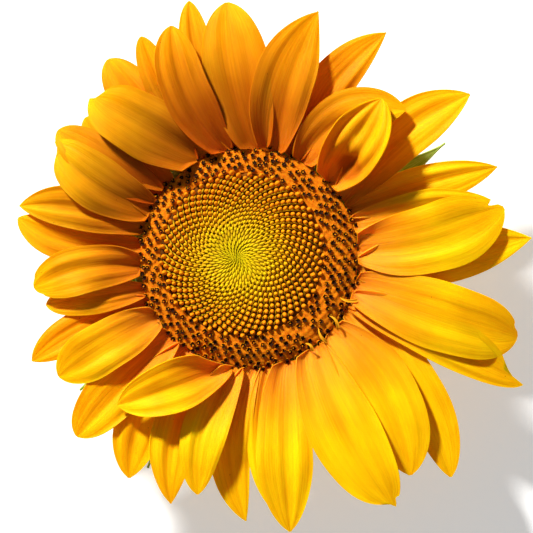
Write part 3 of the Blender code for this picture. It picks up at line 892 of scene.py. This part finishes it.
class SUNFLOWER_OT_open_florets(bpy.types.Operator):
    """Adds the ring of open florets: corollas, dark anther tubes and curled styles"""

    bl_idname = "sunflower.open_florets"
    bl_label = "Add open florets"

    def execute(self, context):
        look = context.scene.sunflower_disc
        rng = np.random.default_rng(look.seed + 1)
        fuzz = floret_fuzz()
        finish(make_bed(), fuzz, "open_florets")
        places = ring_places(look.floret_pitch / MM, rng)
        x, y = places[:, 0], places[:, 1]
        out = np.hypot(x, y)
        outward = xyz(x / out, y / out, 0.0)
        share = np.clip((out - 33.0) / 11.0, 0.0, 1.0)
        up = UP + outward * (0.1 + 0.6 * share**2)[:, None]
        up += rng.normal(0.0, 0.1, up.shape)
        base = xyz(x, y, ring_z(x, y))
        frames = frames_from(up, outward)

        def five_lobes(turn, row, radius, height):
            lobe = 0.5 + 0.5 * np.cos(5 * turn)
            tip = row == 4
            return np.where(tip, radius * (0.7 + 0.3 * lobe), radius), height + 0.35 * lobe * tip

        wall = ((0.0, -1.0), (0.75, -0.9), (0.82, 0.3), (0.86, 0.6))
        mouth = ((1.12, 0.75), (0.8, 0.8), (0.6, 0.5), (0.0, 0.4))
        corolla = template("corolla", wall + mouth, 10, five_lobes)
        size = rng.uniform(0.98, 1.2, (len(x), 1))
        corollas = scatter("corollas", corolla, base - up * 0.15, frames, size, rng.random(len(x)))
        finish(corollas, fuzz, "open_florets")

        def star(turn, row, radius, height):
            point = 0.5 + 0.5 * np.cos(5 * turn)
            top = row == 3
            return np.where(top, radius * (0.62 + 0.45 * point), radius), height + 0.4 * point * top

        wall = ((0.0, -0.4), (0.5, -0.3), (0.6, 0.5), (0.92, 0.8), (0.46, 0.76), (0.0, 0.45))
        tube = template("anther_tube", wall, 10, star)
        size = rng.uniform(1.0, 1.25, (len(x), 1))
        frames = frames_from(up + rng.normal(0.0, 0.1, up.shape), outward)
        seat = base + up * 0.4
        tubes = scatter("anther_tubes", tube, seat, frames, size, rng.random(len(x)))
        finish(tubes, anther_skin(), "open_florets", 50)

        # The tip of a style stands in the mouth of some tubes, or leans over its edge
        lobe = template("style_lobe", ((0.0, -1.0), (0.5, -0.7), (0.6, 0.0), (0.45, 0.7), (0.0, 1.0)), 6)
        which = np.nonzero(rng.random(len(x)) < 0.5)[0]
        spin = rng.uniform(0, 2 * np.pi, len(which))
        shift = rng.uniform(0.0, 0.5, (len(which), 1))
        across = frames[which, 0] * np.cos(spin)[:, None] + frames[which, 1] * np.sin(spin)[:, None]
        top = seat[which] + frames[which, 2] * (size[which] * 0.8) + across * shift
        axis = across * shift * 2.0 + frames[which, 2]
        frames = frames_from(axis, up[which])
        size = np.full((len(which), 1), 0.5)
        styles = scatter("style_lobes", lobe, top, frames, size, rng.random(len(which)), lit=True)
        finish(styles, fuzz, "open_florets")
        return {"FINISHED"}


def make_bed():
    """The uneven mass that the open florets stand in: a closed ring, off centre inside."""
    rows = 22
    piece, turn, row = turned_grid("floret_bed", 220, rows)
    inner = BUDS_R - 0.4
    inner_x, inner_y = BUDS_X + inner * np.cos(turn), BUDS_Y + inner * np.sin(turn)
    # The last two rows lie underneath, at the outer and the inner edge
    share = np.where(row < rows, np.minimum(row / (rows - 2), 1.0), 0.0)
    x = inner_x + (RING_OUT * np.cos(turn) - inner_x) * share
    y = inner_y + (RING_OUT * np.sin(turn) - inner_y) * share
    lump = 0.22 * np.sin(1.9 * x + 0.9 * y) * np.sin(2.1 * y - 0.6 * x)
    lump += 0.1 * np.sin(4.3 * x) * np.sin(3.7 * y)
    place_points(piece, xyz(x, y, np.where(row > rows - 2, DISC_FOOT, ring_z(x, y) + 0.35 + lump)))
    close_up(piece, bridged=True)
    set_tone(piece, (0.5, 0.62))
    return piece


class SUNFLOWER_OT_straps(bpy.types.Operator):
    """Adds the few thin dry scraps that stand up at the lower right rim of the disc"""

    bl_idname = "sunflower.straps"
    bl_label = "Add dry scraps"

    def execute(self, context):
        surface = bud_wax("dry_straw_scrap", ((0.0, "#EDAE22"), (1.0, "#E69C18")))
        for index, (free, held) in enumerate(STRAPS):
            piece, u, v = grid(f"dry_scrap_{index + 1}", 6, 14)
            root = np.array((*held, 39.6))
            tip = np.array((*free, 39.2 + 0.5 * (index % 2)))
            bow = 0.7 * (-1) ** index
            point, ahead = bent_line(root, (root + tip) / 2 + (bow, bow, 1.2), tip, v)
            side = unit(np.cross(UP, ahead))
            half = 0.6 * (1 - v**1.5) ** 0.8 + 0.05
            lift = 0.35 * u * u * half
            place_points(piece, point + (half * u)[:, None] * side + lift[:, None] * UP)
            thicken(piece, SCRAP_WALL)
            set_tone(piece, (0.5, 1.0))
            finish(piece, surface, "open_florets", 60)
        return {"FINISHED"}


class SUNFLOWER_OT_bracts(bpy.types.Operator):
    """Adds the three rows of green bracts under the petals"""

    bl_idname = "sunflower.bracts"
    bl_label = "Add bracts"

    def execute(self, context):
        look = context.scene.sunflower_green
        surface = green_leaf("leathery_green_bract", tuple(look.bract), tuple(look.bract_pale))
        rng = random.Random(BRACT_SEED)
        made = []
        for index in range(BRACTS + LOW_BRACTS):
            turn = index / BRACTS if index < BRACTS else (index + 0.4) / LOW_BRACTS
            azimuth = BRACT_START_DEG + 360 * turn - BRACT_LAG_DEG * math.sin(math.pi * turn) ** 2
            row = 2 if index >= BRACTS else index % 2
            least, most = BRACT_ROWS[row][2:4]
            reach = BRACT_SEEN.get(index, rng.uniform(least, most))
            piece, u, v = blade_grid(f"bract_{index + 1:02d}", 12, 26)
            place_points(piece, bract_points(math.radians(azimuth), reach, row, index, u, v))
            thicken(piece, BRACT_WALL)
            made.append(piece)
        bpy.ops.object.select_all(action="DESELECT")
        for piece in made:
            piece.select_set(True)
        bpy.context.view_layer.objects.active = made[0]
        bpy.ops.object.join()
        made[0].name = "bracts"
        finish(made[0], surface, "receptacle_and_bracts", 60)
        return {"FINISHED"}


class SUNFLOWER_OT_cup(bpy.types.Operator):
    """Adds the receptacle with its ribbed stem stub, cut face and bristles"""

    bl_idname = "sunflower.cup"
    bl_label = "Add receptacle and stem"

    def execute(self, context):
        look = context.scene.sunflower_green
        run = np.concatenate([[0.0], np.cumsum(np.hypot(np.diff(CUP_R), np.diff(CUP_Z)))])
        rows = 60
        piece, turn, row = turned_grid("receptacle_and_stem", 120, rows)
        at = row / rows * run[-1]
        # The row nearest to each corner of the outline is moved onto it
        marks = np.linspace(0.0, run[-1], rows + 1)
        for corner in run:
            near = np.argmin(np.abs(marks - corner))
            at = np.where(np.abs(at - marks[near]) < 1e-6, corner, at)
        radius, z = np.interp(at, run, CUP_R), np.interp(at, run, CUP_Z)
        rib = RIB_DEEP - 0.22 * np.cos(13 * turn) - 0.12 * np.cos(29 * turn + 1.0)
        inside = (z > 31.1) | (z < 0.01)
        fade = np.where(inside, 0.0, np.minimum(1.0, (31.2 - z) / 4.0))
        radius = radius - np.where(radius > 1.0, rib * fade, 0.0)
        radius = np.where((z < 0.01) & (radius > 9.0), radius - rib, radius)
        place_points(piece, xyz(radius * np.cos(turn), radius * np.sin(turn), z))
        close_up(piece)
        finish(piece, stem_skin(), "receptacle_and_bracts", 40)
        piece.data.materials.append(cut_pith())
        for face in piece.data.polygons:
            if face.center.z < 1e-5:
                face.material_index = 1

        # Bristles on the stub and under the receptacle
        rng = np.random.default_rng(BRISTLE_SEED)
        along = rng.uniform(run[HAIRY_FROM], run[HAIRY_TO] - 1.8, BRISTLES)
        turn = rng.uniform(0, 2 * np.pi, BRISTLES)
        radius, z = np.interp(along, run, CUP_R), np.interp(along, run, CUP_Z)
        ahead = 0.3
        fall = (np.interp(along + ahead, run, CUP_Z) - z) / ahead
        spread = (np.interp(along + ahead, run, CUP_R) - radius) / ahead
        out = xyz(np.cos(turn), np.sin(turn), 0.0)
        normal = spread[:, None] * UP - fall[:, None] * out
        seat = (radius - 0.3)[:, None] * out + z[:, None] * UP
        normal += rng.normal(0.0, 0.25, normal.shape)
        hair = template("bristle", ((0.0, -0.3), (0.09, -0.25), (0.05, 0.5), (0.0, 1.0)), 4)
        sizes = rng.uniform(0.6, 1.2, (BRISTLES, 1)) * (1.0, 1.0, look.hair / MM)
        tangent = xyz(-out[:, 1], out[:, 0], 0.0)
        hairs = scatter("bristles", hair, seat, frames_from(normal, tangent), sizes, rng.random(BRISTLES))
        pale = bud_wax("pale_bristle", ((0.0, "#DDE6B8"), (1.0, "#DDE6B8")))
        finish(hairs, pale, "receptacle_and_bracts")
        return {"FINISHED"}


# Name, place, diameter and watts of each light, the point that they are turned to, and where the
# camera looks straight down from, above the petals, all in metres
LIGHTS = (
    ("key_light", (-1.66, 2.37, 1.92), 0.42, 294.0),
    ("fill_light", (0.7, -0.5, 0.9), 0.9, 0.5),
)
BLOOM_MIDDLE = (0.005, 0.0, 0.04)
VIEW_X, VIEW_Y, PETALS_Z = 0.007, -0.0034, 0.038


class SUNFLOWER_OT_stage(bpy.types.Operator):
    """Adds the pale floor, the studio lights and the camera over the bloom"""

    bl_idname = "sunflower.stage"
    bl_label = "Add floor, lights and camera"

    def execute(self, context):
        look = context.scene.sunflower_stage
        scene = context.scene
        bpy.ops.object.select_all(action="DESELECT")
        bpy.ops.mesh.primitive_plane_add(size=6.0)
        floor = context.object
        floor.name = "floor"
        floor.data.materials.append(plaster_floor())
        for name, place, size, energy in LIGHTS:
            light = bpy.data.lights.new(name, "AREA")
            light.shape = "DISK"
            light.size = size
            light.energy = energy
            lamp = bpy.data.objects.new(name, light)
            scene.collection.objects.link(lamp)
            lamp.location = place
            # An area light shines along its own -Z
            aim = Vector(BLOOM_MIDDLE) - Vector(place)
            lamp.rotation_euler = aim.to_track_quat("-Z", "Y").to_euler()
        world = bpy.data.worlds.new("studio_air")
        world.use_nodes = True
        back = world.node_tree.nodes["Background"]
        back.inputs["Color"].default_value = (1.0, 1.0, 1.0, 1.0)
        back.inputs["Strength"].default_value = 0.2
        scene.world = world
        scene.view_settings.view_transform = "Standard"
        optics = bpy.data.cameras.new("camera")
        optics.lens = optics.sensor_width * look.distance / look.view_width
        camera = bpy.data.objects.new("camera", optics)
        camera.location = (VIEW_X, VIEW_Y, PETALS_Z + look.distance)
        scene.collection.objects.link(camera)
        scene.camera = camera
        return {"FINISHED"}


class SUNFLOWER_PT_panel(bpy.types.Panel):
    bl_label = "Sunflower head"
    bl_idname = "SUNFLOWER_PT_panel"
    bl_space_type = "VIEW_3D"
    bl_region_type = "UI"
    bl_category = "Sunflower"

    def draw(self, context):
        for name in GROUPS:
            group = getattr(context.scene, name)
            box = self.layout.box()
            for part in group.__annotations__:
                box.prop(group, part)
        for step in STEPS:
            self.layout.operator(step.bl_idname)


STEPS = (
    SUNFLOWER_OT_cup,
    SUNFLOWER_OT_bracts,
    SUNFLOWER_OT_petals,
    SUNFLOWER_OT_buds,
    SUNFLOWER_OT_open_florets,
    SUNFLOWER_OT_straps,
    SUNFLOWER_OT_stage,
)
GROUPS = {
    "sunflower_petals": PetalSettings,
    "sunflower_disc": DiscSettings,
    "sunflower_green": GreenSettings,
    "sunflower_stage": StageSettings,
}


def register():
    for name, group in GROUPS.items():
        bpy.utils.register_class(group)
        setattr(bpy.types.Scene, name, PointerProperty(type=group))
    for step in (*STEPS, SUNFLOWER_PT_panel):
        bpy.utils.register_class(step)


def unregister():
    for step in (SUNFLOWER_PT_panel, *reversed(STEPS)):
        bpy.utils.unregister_class(step)
    for name, group in GROUPS.items():
        delattr(bpy.types.Scene, name)
        bpy.utils.unregister_class(group)


def main():
    register()
    bpy.ops.sunflower.cup()
    bpy.ops.sunflower.bracts()
    bpy.ops.sunflower.petals()
    bpy.ops.sunflower.buds()
    bpy.ops.sunflower.open_florets()
    bpy.ops.sunflower.straps()
    bpy.ops.sunflower.stage()
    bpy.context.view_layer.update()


if __name__ == "__main__":
    main()
